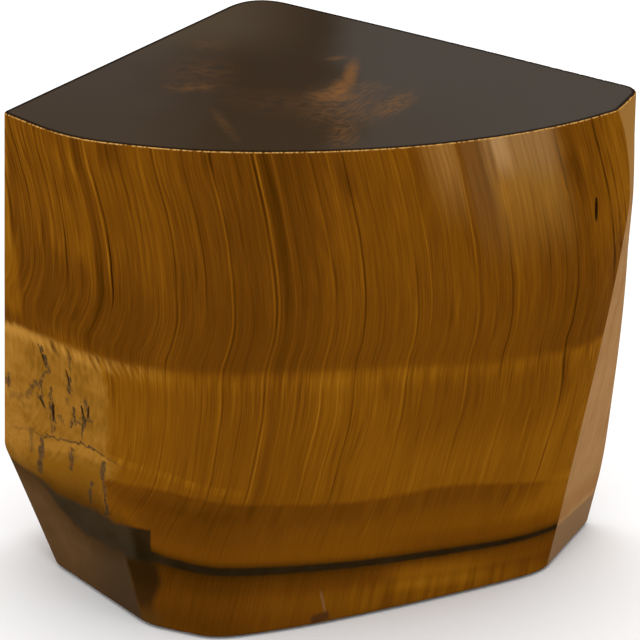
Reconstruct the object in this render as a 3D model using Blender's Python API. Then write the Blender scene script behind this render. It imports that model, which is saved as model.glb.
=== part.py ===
"""Freeform block of tiger's eye: one natural stone, cut and polished.

Seen from above the block is a rounded sector.  Two flat sides meet in a blunt
corner at the back (+Y), and one broad curved face runs round the front (-Y)
from the sharp left corner to the right end, which is ground to a narrow flat.
Top and underside are flat and parallel.  The walls are not upright: the left
side leans in towards the base, the front right hollows away under the top, and
the right flat widens downwards.

Every upright edge or soft ridge of the block is a line from the top to the
base.  A horizontal section is the polygon through these lines with each corner
blended off, and the body is the skin over a stack of such sections.
Dimensions are in millimetres until the mesh is written, which is in metres.
"""

import math

import bmesh
import bpy
from mathutils import Vector

MM = 0.001

# ---------------------------------------------------------------- dimensions
HEIGHT = 52.75          # top face above the base
TOP_RIM = 0.22          # chamfer left by polishing round the top face
BASE_RIM = 0.45         # chamfer round the base
ORIGIN = (-0.57, 1.42)  # plan position of the middle of the block's box

# Edge lines, counter-clockwise from the back corner.  Each key is
# (height, x, y, length of the corner's blend); the line runs smoothly through
# its keys.  The last number of a line is how many points its blend is given.
BACK_CORNER = ([(HEIGHT, -7.0, 24.05, 4.5), (0.0, -7.5, 24.0, 6.0)], 5)
LEFT_EDGE = ([(HEIGHT, -31.55, -7.95, 0.8), (0.0, -33.65, 4.45, 1.0)], 3)
SHOULDER = ([(HEIGHT, -25.1, -14.3, 9.0), (0.0, -17.6, -16.95, 1.5)], 6)
FRONT_1 = ([(HEIGHT, -18.0, -16.6, 9.0), (0.0, -14.2, -18.5, 3.0)], 5)
FRONT_2 = ([(HEIGHT, -10.4, -18.1, 9.0), (0.0, -10.5, -20.1, 3.0)], 5)
FRONT_3 = ([(HEIGHT, -0.5, -18.1, 9.0), (0.0, -2.0, -17.6, 9.0)], 5)
FRONT_4 = ([(HEIGHT, 8.9, -16.9, 9.0), (0.0, 7.0, -13.65, 9.0)], 5)
FRONT_5 = ([(HEIGHT, 17.5, -14.4, 9.0), (0.0, 14.5, -10.05, 9.0)], 5)
FRONT_6 = ([(HEIGHT, 24.2, -11.3, 9.0), (0.0, 20.0, -7.2, 9.0)], 5)
FRONT_7 = ([(HEIGHT, 28.4, -8.4, 9.0), (41.5, 28.9, -6.0, 9.0),
            (7.0, 23.9, -4.6, 4.0), (0.0, 22.4, -5.8, 1.5)], 5)
FLAT_FRONT_EDGE = ([(HEIGHT, 29.65, -7.4, 0.5), (49.3, 30.5, -5.3, 0.5),
                    (41.7, 31.35, -2.3, 0.5), (39.0, 31.25, -1.5, 0.5),
                    (7.0, 25.3, -2.8, 0.5), (0.0, 23.6, -4.5, 0.7)], 3)
FLAT_BACK_EDGE = ([(HEIGHT, 32.2, -1.8, 2.0), (40.0, 32.0, -0.3, 1.5),
                   (27.4, 31.75, 3.2, 1.2), (14.8, 30.9, 5.7, 1.2),
                   (7.0, 30.1, 6.6, 1.2), (0.0, 28.6, 6.4, 1.2)], 4)
BACK_SIDE = ([(HEIGHT, 12.7, 11.35, 9.0), (0.0, 12.0, 15.6, 9.0)], 5)
LINES = (BACK_CORNER, LEFT_EDGE, SHOULDER, FRONT_1, FRONT_2, FRONT_3, FRONT_4,
         FRONT_5, FRONT_6, FRONT_7, FLAT_FRONT_EDGE, FLAT_BACK_EDGE, BACK_SIDE)

# The flat ground off under the left side: three points of its plane.
LOW_FLAT = ((-32.87, 2.1, 11.35), (-27.35, -3.45, 0.0), (-22.85, 5.48, 0.0))
LOW_FLAT_ROUND = 0.4

# Heights of the sections between the two rims.
LEVELS = (3.0, 7.0, 11.5, 16.0, 21.0, 26.0, 31.0, 35.5, 39.0, 41.7, 45.0, 49.3)


# ------------------------------------------------------------------- section
def along(keys, z):
    """Point and blend of an edge line at height z: cubic through its keys."""
    keys = sorted(keys)
    count = len(keys)
    for i in range(count - 1):
        if z <= keys[i + 1][0] or i == count - 2:
            break
    a, b = keys[i], keys[i + 1]
    span = b[0] - a[0]
    t = (z - a[0]) / span
    out = []
    for c in (1, 2, 3):
        chord = (b[c] - a[c]) / span
        before = (a[c] - keys[i - 1][c]) / (a[0] - keys[i - 1][0]) if i else chord
        after = ((keys[i + 2][c] - b[c]) / (keys[i + 2][0] - b[0])
                 if i + 2 < count else chord)
        m0 = 0.5 * (before + chord) * span
        m1 = 0.5 * (chord + after) * span
        out.append((2 * t**3 - 3 * t**2 + 1) * a[c] + (t**3 - 2 * t**2 + t) * m0
                   + (3 * t**2 - 2 * t**3) * b[c] + (t**3 - t**2) * m1)
    return out


def section(z):
    """The closed outline at height z, with every corner blended off."""
    corners = [along(keys, z) for keys, _ in LINES]
    count = len(corners)
    ring = []
    for k, (x, y, blend) in enumerate(corners):
        here = Vector((x, y))
        before = Vector(corners[k - 1][:2]) - here
        after = Vector(corners[(k + 1) % count][:2]) - here
        start = here + before.normalized() * min(blend, before.length / 2)
        end = here + after.normalized() * min(blend, after.length / 2)
        points = LINES[k][1]
        for i in range(points):
            t = (i + 0.5) / points
            ring.append(start * (1 - t)**2 + here * 2 * t * (1 - t) + end * t**2)
    return ring


def drawn_in(ring, distance):
    """The ring moved inwards by a distance, square to its own outline."""
    count = len(ring)
    out = []
    for i, point in enumerate(ring):
        tangent = (ring[(i + 1) % count] - ring[i - 1]).normalized()
        out.append(point + Vector((-tangent.y, tangent.x)) * distance)
    return out


# ---------------------------------------------------------------------- body
def skin():
    """Stack the sections, bridge them and fill the top and the underside."""
    bm = bmesh.new()
    stack = [(drawn_in(section(0.0), BASE_RIM), 0.0),
             (section(BASE_RIM), BASE_RIM)]
    stack += [(section(z), z) for z in LEVELS]
    stack += [(section(HEIGHT - TOP_RIM), HEIGHT - TOP_RIM),
              (drawn_in(section(HEIGHT), TOP_RIM), HEIGHT)]
    rings = []
    for outline, z in stack:
        rings.append([bm.verts.new(((p.x - ORIGIN[0]) * MM,
                                    (p.y - ORIGIN[1]) * MM, z * MM))
                      for p in outline])
    count = len(rings[0])
    for low, high in zip(rings, rings[1:]):
        for i in range(count):
            j = (i + 1) % count
            bm.faces.new((low[i], low[j], high[j], high[i]))
    bm.faces.new(reversed(rings[0]))
    bm.faces.new(rings[-1])
    return bm


def grind_flat(bm, points, rounding):
    """Cut the body off at the plane through three points and round the edges."""
    a, b, c = (Vector(((x - ORIGIN[0]) * MM, (y - ORIGIN[1]) * MM, z * MM))
               for x, y, z in points)
    normal = (b - a).cross(c - a).normalized()
    middle = Vector((0.0, 0.0, 0.5 * HEIGHT * MM))
    if (middle - a).dot(normal) > 0:
        normal.negate()
    cut = bmesh.ops.bisect_plane(
        bm, geom=bm.verts[:] + bm.edges[:] + bm.faces[:], dist=1e-5,
        plane_co=a, plane_no=normal, clear_outer=True)
    rim = [e for e in cut["geom_cut"] if isinstance(e, bmesh.types.BMEdge)]
    bmesh.ops.contextual_create(bm, geom=rim)
    bmesh.ops.remove_doubles(bm, verts=bm.verts[:], dist=1.2e-4)
    bmesh.ops.dissolve_degenerate(bm, edges=bm.edges[:], dist=1e-5)
    flat = max(bm.faces, key=lambda f: (abs(f.normal.dot(normal)) > 0.999)
               * f.calc_area())
    bmesh.ops.bevel(bm, geom=flat.edges[:], offset=rounding * MM, segments=2,
                    profile=0.5, affect="EDGES", clamp_overlap=True)
    bmesh.ops.remove_doubles(bm, verts=bm.verts[:], dist=4e-5)


def build():
    bm = skin()
    grind_flat(bm, LOW_FLAT, LOW_FLAT_ROUND)
    bmesh.ops.triangulate(bm, faces=bm.faces[:], quad_method="SHORT_EDGE",
                          ngon_method="BEAUTY")
    bmesh.ops.recalc_face_normals(bm, faces=bm.faces[:])
    mesh = bpy.data.meshes.new("tigers_eye_slab")
    bm.to_mesh(mesh)
    bm.free()
    mesh.shade_smooth()
    mesh.set_sharp_from_angle(angle=math.radians(24.0))
    stone = bpy.data.objects.new("tigers_eye_slab", mesh)
    bpy.context.scene.collection.objects.link(stone)
    return stone


def stone_material():
    material = bpy.data.materials.new("tigers_eye")
    material.use_nodes = True
    shader = material.node_tree.nodes["Principled BSDF"]
    shader.inputs["Base Color"].default_value = (0.16, 0.055, 0.006, 1.0)
    shader.inputs["Roughness"].default_value = 0.16
    shader.inputs["Metallic"].default_value = 0.0
    return material


for old in list(bpy.data.objects):
    bpy.data.objects.remove(old, do_unlink=True)

block = build()
block.data.materials.append(stone_material())
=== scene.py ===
"""Fine visual model of the polished tiger's eye block, its studio and camera."""
import math

import bpy
import numpy as np
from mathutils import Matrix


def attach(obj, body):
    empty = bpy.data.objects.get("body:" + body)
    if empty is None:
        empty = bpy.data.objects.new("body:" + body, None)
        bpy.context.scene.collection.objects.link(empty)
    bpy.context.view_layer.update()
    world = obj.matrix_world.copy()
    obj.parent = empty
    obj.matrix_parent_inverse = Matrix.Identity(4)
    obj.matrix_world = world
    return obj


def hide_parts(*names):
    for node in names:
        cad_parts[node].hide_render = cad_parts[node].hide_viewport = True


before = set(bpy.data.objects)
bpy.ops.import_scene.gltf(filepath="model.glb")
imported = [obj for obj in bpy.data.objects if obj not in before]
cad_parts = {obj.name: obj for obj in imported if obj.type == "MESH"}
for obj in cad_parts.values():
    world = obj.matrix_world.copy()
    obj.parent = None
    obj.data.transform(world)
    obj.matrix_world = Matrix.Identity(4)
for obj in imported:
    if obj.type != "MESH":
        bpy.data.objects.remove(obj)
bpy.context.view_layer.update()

MM = 0.001
HEIGHT = 52.75
ORIGIN = np.array((-0.57, 1.42, 0.0))   # local millimetres -> the CAD frame

# ------------------------------------------------------------------ the form
# Edge lines of the block, counter-clockwise from the back corner:
# keys of (height, x, y, blend length), the same as the CAD solid's.
LINES = (
    ((HEIGHT, -7.0, 24.05, 4.5), (0.0, -7.5, 24.0, 6.0)),
    ((HEIGHT, -31.55, -7.95, 0.8), (0.0, -33.65, 4.45, 1.0)),
    ((HEIGHT, -25.1, -14.3, 9.0), (0.0, -17.6, -16.95, 1.5)),
    ((HEIGHT, -18.0, -16.6, 9.0), (0.0, -14.2, -18.5, 3.0)),
    ((HEIGHT, -10.4, -18.1, 9.0), (0.0, -10.5, -20.1, 3.0)),
    ((HEIGHT, -0.5, -18.1, 9.0), (0.0, -2.0, -17.6, 9.0)),
    ((HEIGHT, 8.9, -16.9, 9.0), (0.0, 7.0, -13.65, 9.0)),
    ((HEIGHT, 17.5, -14.4, 9.0), (0.0, 14.5, -10.05, 9.0)),
    ((HEIGHT, 24.2, -11.3, 9.0), (0.0, 20.0, -7.2, 9.0)),
    ((HEIGHT, 28.4, -8.4, 9.0), (41.5, 28.9, -6.0, 9.0),
     (7.0, 23.9, -4.6, 4.0), (0.0, 22.4, -5.8, 1.5)),
    ((HEIGHT, 29.65, -7.4, 0.5), (49.3, 30.5, -5.3, 0.5), (41.7, 31.35, -2.3, 0.5),
     (39.0, 31.25, -1.5, 0.5), (7.0, 25.3, -2.8, 0.5), (0.0, 23.6, -4.5, 0.7)),
    ((HEIGHT, 32.2, -1.8, 2.0), (40.0, 32.0, -0.3, 1.5), (27.4, 31.75, 3.2, 1.2),
     (14.8, 30.9, 5.7, 1.2), (7.0, 30.1, 6.6, 1.2), (0.0, 28.6, 6.4, 1.2)),
    ((HEIGHT, 12.7, 11.35, 9.0), (0.0, 12.0, 15.6, 9.0)),
)
LOW_FLAT = ((-32.87, 2.1, 11.35), (-27.35, -3.45, 0.0), (-22.85, 5.48, 0.0))
AXIS = (-0.5, 1.0)        # plan position of the axis that radii are taken from
CORE = np.array((-0.5, 1.0, 26.4))


def along(keys, z):
    keys = sorted(keys)
    count = len(keys)
    for i in range(count - 1):
        if z <= keys[i + 1][0] or i == count - 2:
            break
    a, b = keys[i], keys[i + 1]
    span = b[0] - a[0]
    t = (z - a[0]) / span
    out = []
    for c in (1, 2, 3):
        chord = (b[c] - a[c]) / span
        before = (a[c] - keys[i - 1][c]) / (a[0] - keys[i - 1][0]) if i else chord
        after = ((keys[i + 2][c] - b[c]) / (keys[i + 2][0] - b[0])
                 if i + 2 < count else chord)
        m0, m1 = 0.5 * (before + chord) * span, 0.5 * (chord + after) * span
        out.append((2 * t**3 - 3 * t**2 + 1) * a[c] + (t**3 - 2 * t**2 + t) * m0
                   + (3 * t**2 - 2 * t**3) * b[c] + (t**3 - t**2) * m1)
    return out


def section(z, n=24):
    keys = np.array([along(line, z) for line in LINES])
    p, blend = keys[:, :2], keys[:, 2]
    t = ((np.arange(n) + 0.5) / n)[:, None]
    out = []
    for k in range(len(p)):
        v, before, after = p[k], p[k - 1] - p[k], p[(k + 1) % len(p)] - p[k]
        lb, la = np.linalg.norm(before), np.linalg.norm(after)
        start = v + before / lb * min(blend[k], lb / 2)
        end = v + after / la * min(blend[k], la / 2)
        out.append(start * (1 - t)**2 + 2 * v * t * (1 - t) + end * t**2)
    return np.concatenate(out)


NZ, NT = 265, 3072
TH = np.linspace(-np.pi, np.pi, NT + 1)[:-1]


def radius_table():
    table = np.empty((NZ, NT))
    ray = np.c_[np.cos(TH), np.sin(TH)]
    for i, z in enumerate(np.linspace(0, HEIGHT, NZ)):
        ring = section(z) - np.array(AXIS)
        angle = np.arctan2(ring[:, 1], ring[:, 0])
        order = np.argsort(angle)
        ring, angle = ring[order], angle[order]
        angle = np.r_[angle[-1] - 2 * np.pi, angle, angle[0] + 2 * np.pi]
        ring = np.vstack([ring[-1], ring, ring[0]])
        j = np.clip(np.searchsorted(angle, TH, side="right") - 1, 0, len(angle) - 2)
        p, d = ring[j], ring[j + 1] - ring[j]
        table[i] = ((p[:, 0] * d[:, 1] - p[:, 1] * d[:, 0])
                    / (ray[:, 0] * d[:, 1] - ray[:, 1] * d[:, 0]))
    return table


RADIUS = radius_table()
SLOPE = (np.roll(RADIUS, -1, 1) - np.roll(RADIUS, 1, 1)) / (2 * (TH[1] - TH[0]))
COSINE = 1 / np.sqrt(1 + (SLOPE / RADIUS)**2)


def lookup(table, z, angle):
    fz = np.clip(z / HEIGHT * (NZ - 1), 0, NZ - 1.000001)
    i = fz.astype(int)
    fz = fz - i
    ft = (angle + np.pi) / (2 * np.pi) * NT
    j = np.floor(ft).astype(int)
    ft = ft - j
    a, b = j % NT, (j + 1) % NT
    return ((table[i, a] * (1 - ft) + table[i, b] * ft) * (1 - fz)
            + (table[i + 1, a] * (1 - ft) + table[i + 1, b] * ft) * fz)


# ------------------------------------------------- repeatable lattice noise
def hashed(i, j, k, seed):
    h = (i.astype(np.int64) * 374761393 + j.astype(np.int64) * 668265263
         + k.astype(np.int64) * 1274126177 + seed * 974711)
    h = (h ^ (h >> 13)) * 1274126177
    h = (h ^ (h >> 16)) & 0xFFFFFF
    return h / float(0xFFFFFF)


def noise3(p, seed=0):
    base = np.floor(p).astype(np.int64)
    f = p - base
    f = f * f * (3 - 2 * f)
    out = 0.0
    for dx in (0, 1):
        for dy in (0, 1):
            for dz in (0, 1):
                w = ((f[:, 0] if dx else 1 - f[:, 0])
                     * (f[:, 1] if dy else 1 - f[:, 1])
                     * (f[:, 2] if dz else 1 - f[:, 2]))
                out = out + w * hashed(base[:, 0] + dx, base[:, 1] + dy,
                                       base[:, 2] + dz, seed)
    return out


# --------------------------------------------------------- pits and openings
# Small open pits in the polish: two ends of each and how wide and deep it is.
PITS = (
    ((27.62, -7.14, 43.1), (27.75, -6.62, 40.4), 0.21, 0.34),
    ((-28.50, -6.85, 26.5), (-27.85, -7.30, 24.4), 0.20, 0.10),
    ((-25.55, -10.1, 25.5), (-25.35, -10.4, 23.6), 0.20, 0.09),
    ((-27.15, -7.40, 20.3), (-27.25, -7.15, 18.4), 0.25, 0.10),
    ((-24.10, -11.6, 22.2), (-23.75, -11.9, 19.9), 0.20, 0.12),
    ((-23.25, -12.6, 22.6), (-23.55, -12.2, 20.6), 0.16, 0.12),
    ((-28.60, -5.60, 20.2), (-28.25, -6.00, 19.4), 0.25, 0.09),
)


def capsule(p, a, b):
    a, b = np.array(a), np.array(b)
    t = np.clip((p - a) @ (b - a) / ((b - a) @ (b - a)), 0, 1)
    return np.linalg.norm(p - a - t[:, None] * (b - a), axis=1), t


def pit_depth(p):
    """How far the surface is sunk at a point, in millimetres."""
    out = np.zeros(len(p))
    for a, b, wide, deep in PITS:
        d, t = capsule(p, a, b)
        w = wide * (0.35 + 0.65 * np.sin(np.pi * (0.12 + 0.76 * t)))
        out = np.maximum(out, deep * np.clip(1.15 - d / w, 0, 1)**0.7)
    return out


def rounded(a, b, r):
    return (np.minimum(np.maximum(a, b), -r)
            + np.hypot(np.maximum(a + r, 0), np.maximum(b + r, 0)))


fa, fb, fc = (np.array(q) for q in LOW_FLAT)
FLAT_N = np.cross(fb - fa, fc - fa)
FLAT_N /= np.linalg.norm(FLAT_N)
FLAT_D = FLAT_N @ fa
if FLAT_N @ CORE > FLAT_D:
    FLAT_N, FLAT_D = -FLAT_N, -FLAT_D


def wall_of(p):
    """Like the distance out from the upright faces and the low flat."""
    x, y, z = p[:, 0] - AXIS[0], p[:, 1] - AXIS[1], p[:, 2]
    angle = np.arctan2(y, x)
    side = (np.hypot(x, y) - lookup(RADIUS, z, angle)) * lookup(COSINE, z, angle)
    # the faintest waves that hand polishing leaves
    side = side + 0.03 * noise3(p / 9.0, 3) + 0.045
    return rounded(side, p @ FLAT_N - FLAT_D, 0.5)


def outside(p):
    """Signed distance-like value: above zero outside the stone."""
    z = p[:, 2]
    wall = wall_of(p)
    f = rounded(wall, -z, 0.45)
    f = rounded(f, z - HEIGHT, 0.07)
    # the top rim: a hair of a chamfer, chipped where fibres broke away
    chip = noise3(np.c_[p[:, 0] * 2.6, p[:, 1] * 2.6, np.zeros(len(p))], 11)
    chip2 = noise3(np.c_[p[:, 0] * 7.0, p[:, 1] * 7.0, np.zeros(len(p))], 12)
    worn = np.clip((9.0 - p[:, 1] + 0.55 * p[:, 0]) / 4.0, 0, 1)
    rough = worn * (0.35 + 0.65 * np.clip((p[:, 0] - 12.0) / 10.0, 0, 1))
    cut = 0.075 + rough * (0.10 * np.maximum(chip - 0.55, 0)
                           + 0.09 * np.maximum(chip2 - 0.5, 0))
    f = np.maximum(f, (wall + (z - HEIGHT)) * 0.7071 + cut)
    return f + pit_depth(p)


def settle(direction, guess=None):
    """Where rays from the core along unit directions leave the stone."""
    if guess is None:
        low = np.full(len(direction), 10.0)
        high = np.full(len(direction), 52.0)
        rounds = 16
    else:
        low, high = guess - 0.7, guess + 0.7
        rounds = 3
        for _ in range(3):      # widen where the bracket misses the surface
            miss = outside(CORE + direction * low[:, None]) > 0
            low = np.where(miss, low - 4, low)
            miss = outside(CORE + direction * high[:, None]) < 0
            high = np.where(miss, high + 4, high)
    for _ in range(rounds):
        middle = 0.5 * (low + high)
        inside = outside(CORE + direction * middle[:, None]) < 0
        low = np.where(inside, middle, low)
        high = np.where(inside, high, middle)
    f_low = outside(CORE + direction * low[:, None])
    f_high = outside(CORE + direction * high[:, None])
    for _ in range(6):          # then false position, which closes in quickly
        t = np.clip(f_low / np.minimum(f_low - f_high, -1e-12), 0.02, 0.98)
        middle = low + (high - low) * t
        f = outside(CORE + direction * middle[:, None])
        inside = f < 0
        low, f_low = np.where(inside, middle, low), np.where(inside, f, f_low)
        high, f_high = np.where(inside, high, middle), np.where(inside, f_high, f)
    t = np.clip(f_low / np.minimum(f_low - f_high, -1e-12), 0, 1)
    return CORE + direction * (low + (high - low) * t)[:, None]


def gradient(p, h=0.03):
    g = np.empty_like(p)
    for k in range(3):
        step = np.zeros(3)
        step[k] = h
        g[:, k] = outside(p + step) - outside(p - step)
    return g / np.linalg.norm(g, axis=1)[:, None]


def icosphere():
    phi = (1 + 5**0.5) / 2
    v = np.array([(-1, phi, 0), (1, phi, 0), (-1, -phi, 0), (1, -phi, 0),
                  (0, -1, phi), (0, 1, phi), (0, -1, -phi), (0, 1, -phi),
                  (phi, 0, -1), (phi, 0, 1), (-phi, 0, -1), (-phi, 0, 1)], float)
    f = np.array([(0, 11, 5), (0, 5, 1), (0, 1, 7), (0, 7, 10), (0, 10, 11),
                  (1, 5, 9), (5, 11, 4), (11, 10, 2), (10, 7, 6), (7, 1, 8),
                  (3, 9, 4), (3, 4, 2), (3, 2, 6), (3, 6, 8), (3, 8, 9),
                  (4, 9, 5), (2, 4, 11), (6, 2, 10), (8, 6, 7), (9, 8, 1)])
    return v / np.linalg.norm(v, axis=1)[:, None], f


def edges_of(faces):
    e = np.sort(np.concatenate([faces[:, [0, 1]], faces[:, [1, 2]],
                                faces[:, [2, 0]]]), axis=1)
    unique, inverse = np.unique(e, axis=0, return_inverse=True)
    return unique, inverse.reshape(3, -1).T


def split(faces, marked, inverse, mid):
    """Each face cut at its marked edges, with no vertex left hanging."""
    m = marked[inverse]
    out = [faces[~m.any(1)]]
    for pattern in range(1, 8):
        bits = [bool(pattern >> k & 1) for k in range(3)]
        pick = (m == bits).all(1)
        if not pick.any():
            continue
        f, i = faces[pick], inverse[pick]
        n = sum(bits)
        shift = {1: bits.index(True), 2: 0, 3: 0}[n] if n != 2 else \
            (bits.index(False) + 1) % 3
        f, i = np.roll(f, -shift, 1), np.roll(i, -shift, 1)
        a, b, c = f.T
        ab, bc, ca = (mid[i[:, k]] for k in range(3))
        if n == 1:
            out += [np.c_[a, ab, c], np.c_[ab, b, c]]
        elif n == 2:   # ab and bc are cut
            out += [np.c_[ab, b, bc], np.c_[a, ab, bc], np.c_[a, bc, c]]
        else:
            out += [np.c_[a, ab, ca], np.c_[ab, b, bc], np.c_[ca, bc, c],
                    np.c_[ab, bc, ca]]
    return np.concatenate(out)


def fineness(p):
    """Longest edge wanted at a point: fine round pits and the chipped rim."""
    want = np.full(len(p), 2.0)
    for a, b, wide, deep in PITS:
        d, _ = capsule(p, a, b)
        want = np.minimum(want, np.where(d < wide * 1.6, 0.06,
                                         0.06 + (d - wide * 1.6) * 0.6))
    front = p[:, 1] < 0.55 * p[:, 0] + 6
    rim = (np.abs(p[:, 2] - HEIGHT) < 0.32)
    side = wall_of(np.c_[p[:, :2], np.full(len(p), HEIGHT)])
    rim &= np.abs(side) < 0.32
    want[rim] = np.minimum(want[rim], np.where(front[rim], 0.11, 0.2))
    return want


def stone_mesh():
    v, f = icosphere()
    for _ in range(5):
        e, inv = edges_of(f)
        mid = len(v) + np.arange(len(e))
        new = v[e].mean(1)
        f = split(f, np.ones(len(e), bool), inv, mid)
        v = np.concatenate([v, new / np.linalg.norm(new, axis=1)[:, None]])
    p = settle(v)
    n = gradient(p)
    for step in range(10):
        e, inv = edges_of(f)
        a, b = p[e[:, 0]], p[e[:, 1]]
        length = np.linalg.norm(a - b, axis=1)
        turn = np.arccos(np.clip((n[e[:, 0]] * n[e[:, 1]]).sum(1), -1, 1))
        marked = (length > fineness(0.5 * (a + b))) | \
            ((turn > 0.2) & (length > 0.13)) | ((turn > 0.06) & (length > 1.0)) | \
            ((turn > 0.1) & (length > 0.4))
        if not marked.any():
            break
        ranks = length[inv]
        longest = inv[np.arange(len(f)), ranks.argmax(1)]
        while True:
            need = marked[inv].any(1) & ~marked[longest]
            if not need.any():
                break
            marked[longest[need]] = True
        index = np.full(len(e), -1)
        index[marked] = len(v) + np.arange(marked.sum())
        new = v[e[marked]].mean(1)
        f = split(f, marked, inv, index)
        new /= np.linalg.norm(new, axis=1)[:, None]
        far = np.linalg.norm(p[e[marked]] - CORE, axis=2).mean(1)
        q = settle(new, far)
        v = np.concatenate([v, new])
        p = np.concatenate([p, q])
        n = np.concatenate([n, gradient(q)])
        if len(f) > 150000:
            break
    return p, n, f


points, normals, faces = stone_mesh()
print("stone mesh", len(points), "points", len(faces), "triangles", flush=True)
mesh = bpy.data.meshes.new("tigers_eye_stone")
mesh.from_pydata(((points - ORIGIN) * MM).tolist(), [], faces.tolist())
mesh.update()
mesh.shade_smooth()
mesh.normals_split_custom_set_from_vertices(normals.tolist())
inset = mesh.attributes.new("inset", "FLOAT", "POINT")   # mm in from the side faces
inset.data.foreach_set("value", np.clip(-wall_of(points), -1, 3).astype(np.float32))
hollow = mesh.attributes.new("hollow", "FLOAT", "POINT")  # depth of the open pits
hollow.data.foreach_set("value", pit_depth(points).astype(np.float32))
heights = np.linspace(0, HEIGHT, 265)


def edge_line(k):
    """The place (x, y) of edge k beside every point of the mesh."""
    spots = np.array([along(LINES[k], z)[:2] for z in heights])
    return np.c_[np.interp(points[:, 2], heights, spots[:, 0]),
                 np.interp(points[:, 2], heights, spots[:, 1])]


crease, far_edge = edge_line(10), edge_line(11)
run = (far_edge - crease) / np.linalg.norm(far_edge - crease, axis=1)[:, None]
onto = mesh.attributes.new("onto_flat", "FLOAT", "POINT")  # mm past the sharp crease
onto.data.foreach_set("value", np.clip(((points[:, :2] - crease) * run).sum(1),
                                       -3, 3).astype(np.float32))
stone = bpy.data.objects.new("tigers_eye_stone", mesh)
bpy.context.scene.collection.objects.link(stone)
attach(stone, "root")
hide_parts("tigers_eye_slab")

# ----------------------------------------------------------------- the stone
def srgb(r, g, b):
    out = []
    for c in (r, g, b):
        c /= 255.0
        out.append(c / 12.92 if c <= 0.04045 else ((c + 0.055) / 1.055)**2.4)
    return (*out, 1.0)


class Nodes:
    """Short hand for building a shader tree."""

    def __init__(self, tree):
        self.tree = tree

    def put(self, socket, value):
        if isinstance(value, bpy.types.NodeSocket):
            self.tree.links.new(value, socket)
        else:
            socket.default_value = value

    def new(self, kind, inputs=(), **props):
        node = self.tree.nodes.new(kind)
        for key, value in props.items():
            setattr(node, key, value)
        for key, value in dict(inputs).items():
            self.put(node.inputs[key], value)
        return node

    def after(self, value, *coordinates):
        """The same coordinates, worked out only once value is known. The masks
        made from them then follow on, and the shader keeps few results at once."""
        return [self.mad(value, 1e-9, c) for c in coordinates]

    def math(self, op, a, b=0.0, c=0.0, clamp=False):
        return self.new("ShaderNodeMath", {0: a, 1: b, 2: c}, operation=op,
                        use_clamp=clamp).outputs[0]

    def add(self, a, *rest):
        for b in rest:
            a = self.math("ADD", a, b)
        return a

    def sub(self, a, b):
        return self.math("SUBTRACT", a, b)

    def mul(self, a, *rest):
        for b in rest:
            a = self.math("MULTIPLY", a, b)
        return a

    def mad(self, a, b, c):
        return self.math("MULTIPLY_ADD", a, b, c)

    def top(self, a, *rest):
        for b in rest:
            a = self.math("MAXIMUM", a, b)
        return a

    def absolute(self, a):
        return self.math("ABSOLUTE", a)

    def smooth(self, x, low, high, to=1.0):
        return self.new("ShaderNodeMapRange", {"Value": x, "From Min": low,
                        "From Max": high, "To Max": to},
                        interpolation_type="SMOOTHSTEP").outputs[0]

    def window(self, x, a, b, c, d):
        """0 below a, 1 between b and c, 0 above d."""
        return self.mul(self.smooth(x, a, b), self.smooth(x, d, c))

    def vector(self, x, y, z):
        return self.new("ShaderNodeCombineXYZ", {0: x, 1: y, 2: z}).outputs[0]

    def scaled(self, v, by, shift=(0, 0, 0)):
        return self.new("ShaderNodeVectorMath", {0: v, 1: by, 2: shift},
                        operation="MULTIPLY_ADD").outputs[0]

    def noise(self, v, scale=1.0, detail=0.0, rough=0.5):
        return self.new("ShaderNodeTexNoise", {"Vector": v, "Scale": scale,
                        "Detail": detail, "Roughness": rough}).outputs["Fac"]

    def curve(self, x, points, low=0.0, high=1.0):
        """A smooth function through given (x, value) points."""
        xs = [p[0] for p in points]
        a, b = min(xs), max(xs)
        t = self.math("DIVIDE", self.sub(x, a), b - a, clamp=True)
        node = self.new("ShaderNodeFloatCurve", {"Value": t})
        spots = sorted(((p[0] - a) / (b - a), (p[1] - low) / (high - low))
                       for p in points)
        line = node.mapping.curves[0]
        line.points[0].location = spots[0]
        line.points[1].location = spots[-1]
        for p in spots[1:-1]:
            line.points.new(*p)
        node.mapping.update()
        return self.mad(node.outputs[0], high - low, low)

    def ramp(self, x, stops):
        node = self.new("ShaderNodeValToRGB", {0: x})
        el = node.color_ramp.elements
        while len(el) > 1:
            el.remove(el[-1])
        el[0].position, el[0].color = stops[0]
        for place, colour in stops[1:]:
            el.new(place).color = colour
        return node.outputs[0]

    def mix(self, a, b, fac):
        return self.new("ShaderNodeMix", {0: fac, 6: a, 7: b}, data_type="RGBA",
                        clamp_factor=True).outputs[2]

    def blend(self, a, b, fac):
        """Plain numbers: a where fac is 0, b where it is 1."""
        return self.mad(self.sub(b, a), fac, a)


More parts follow.
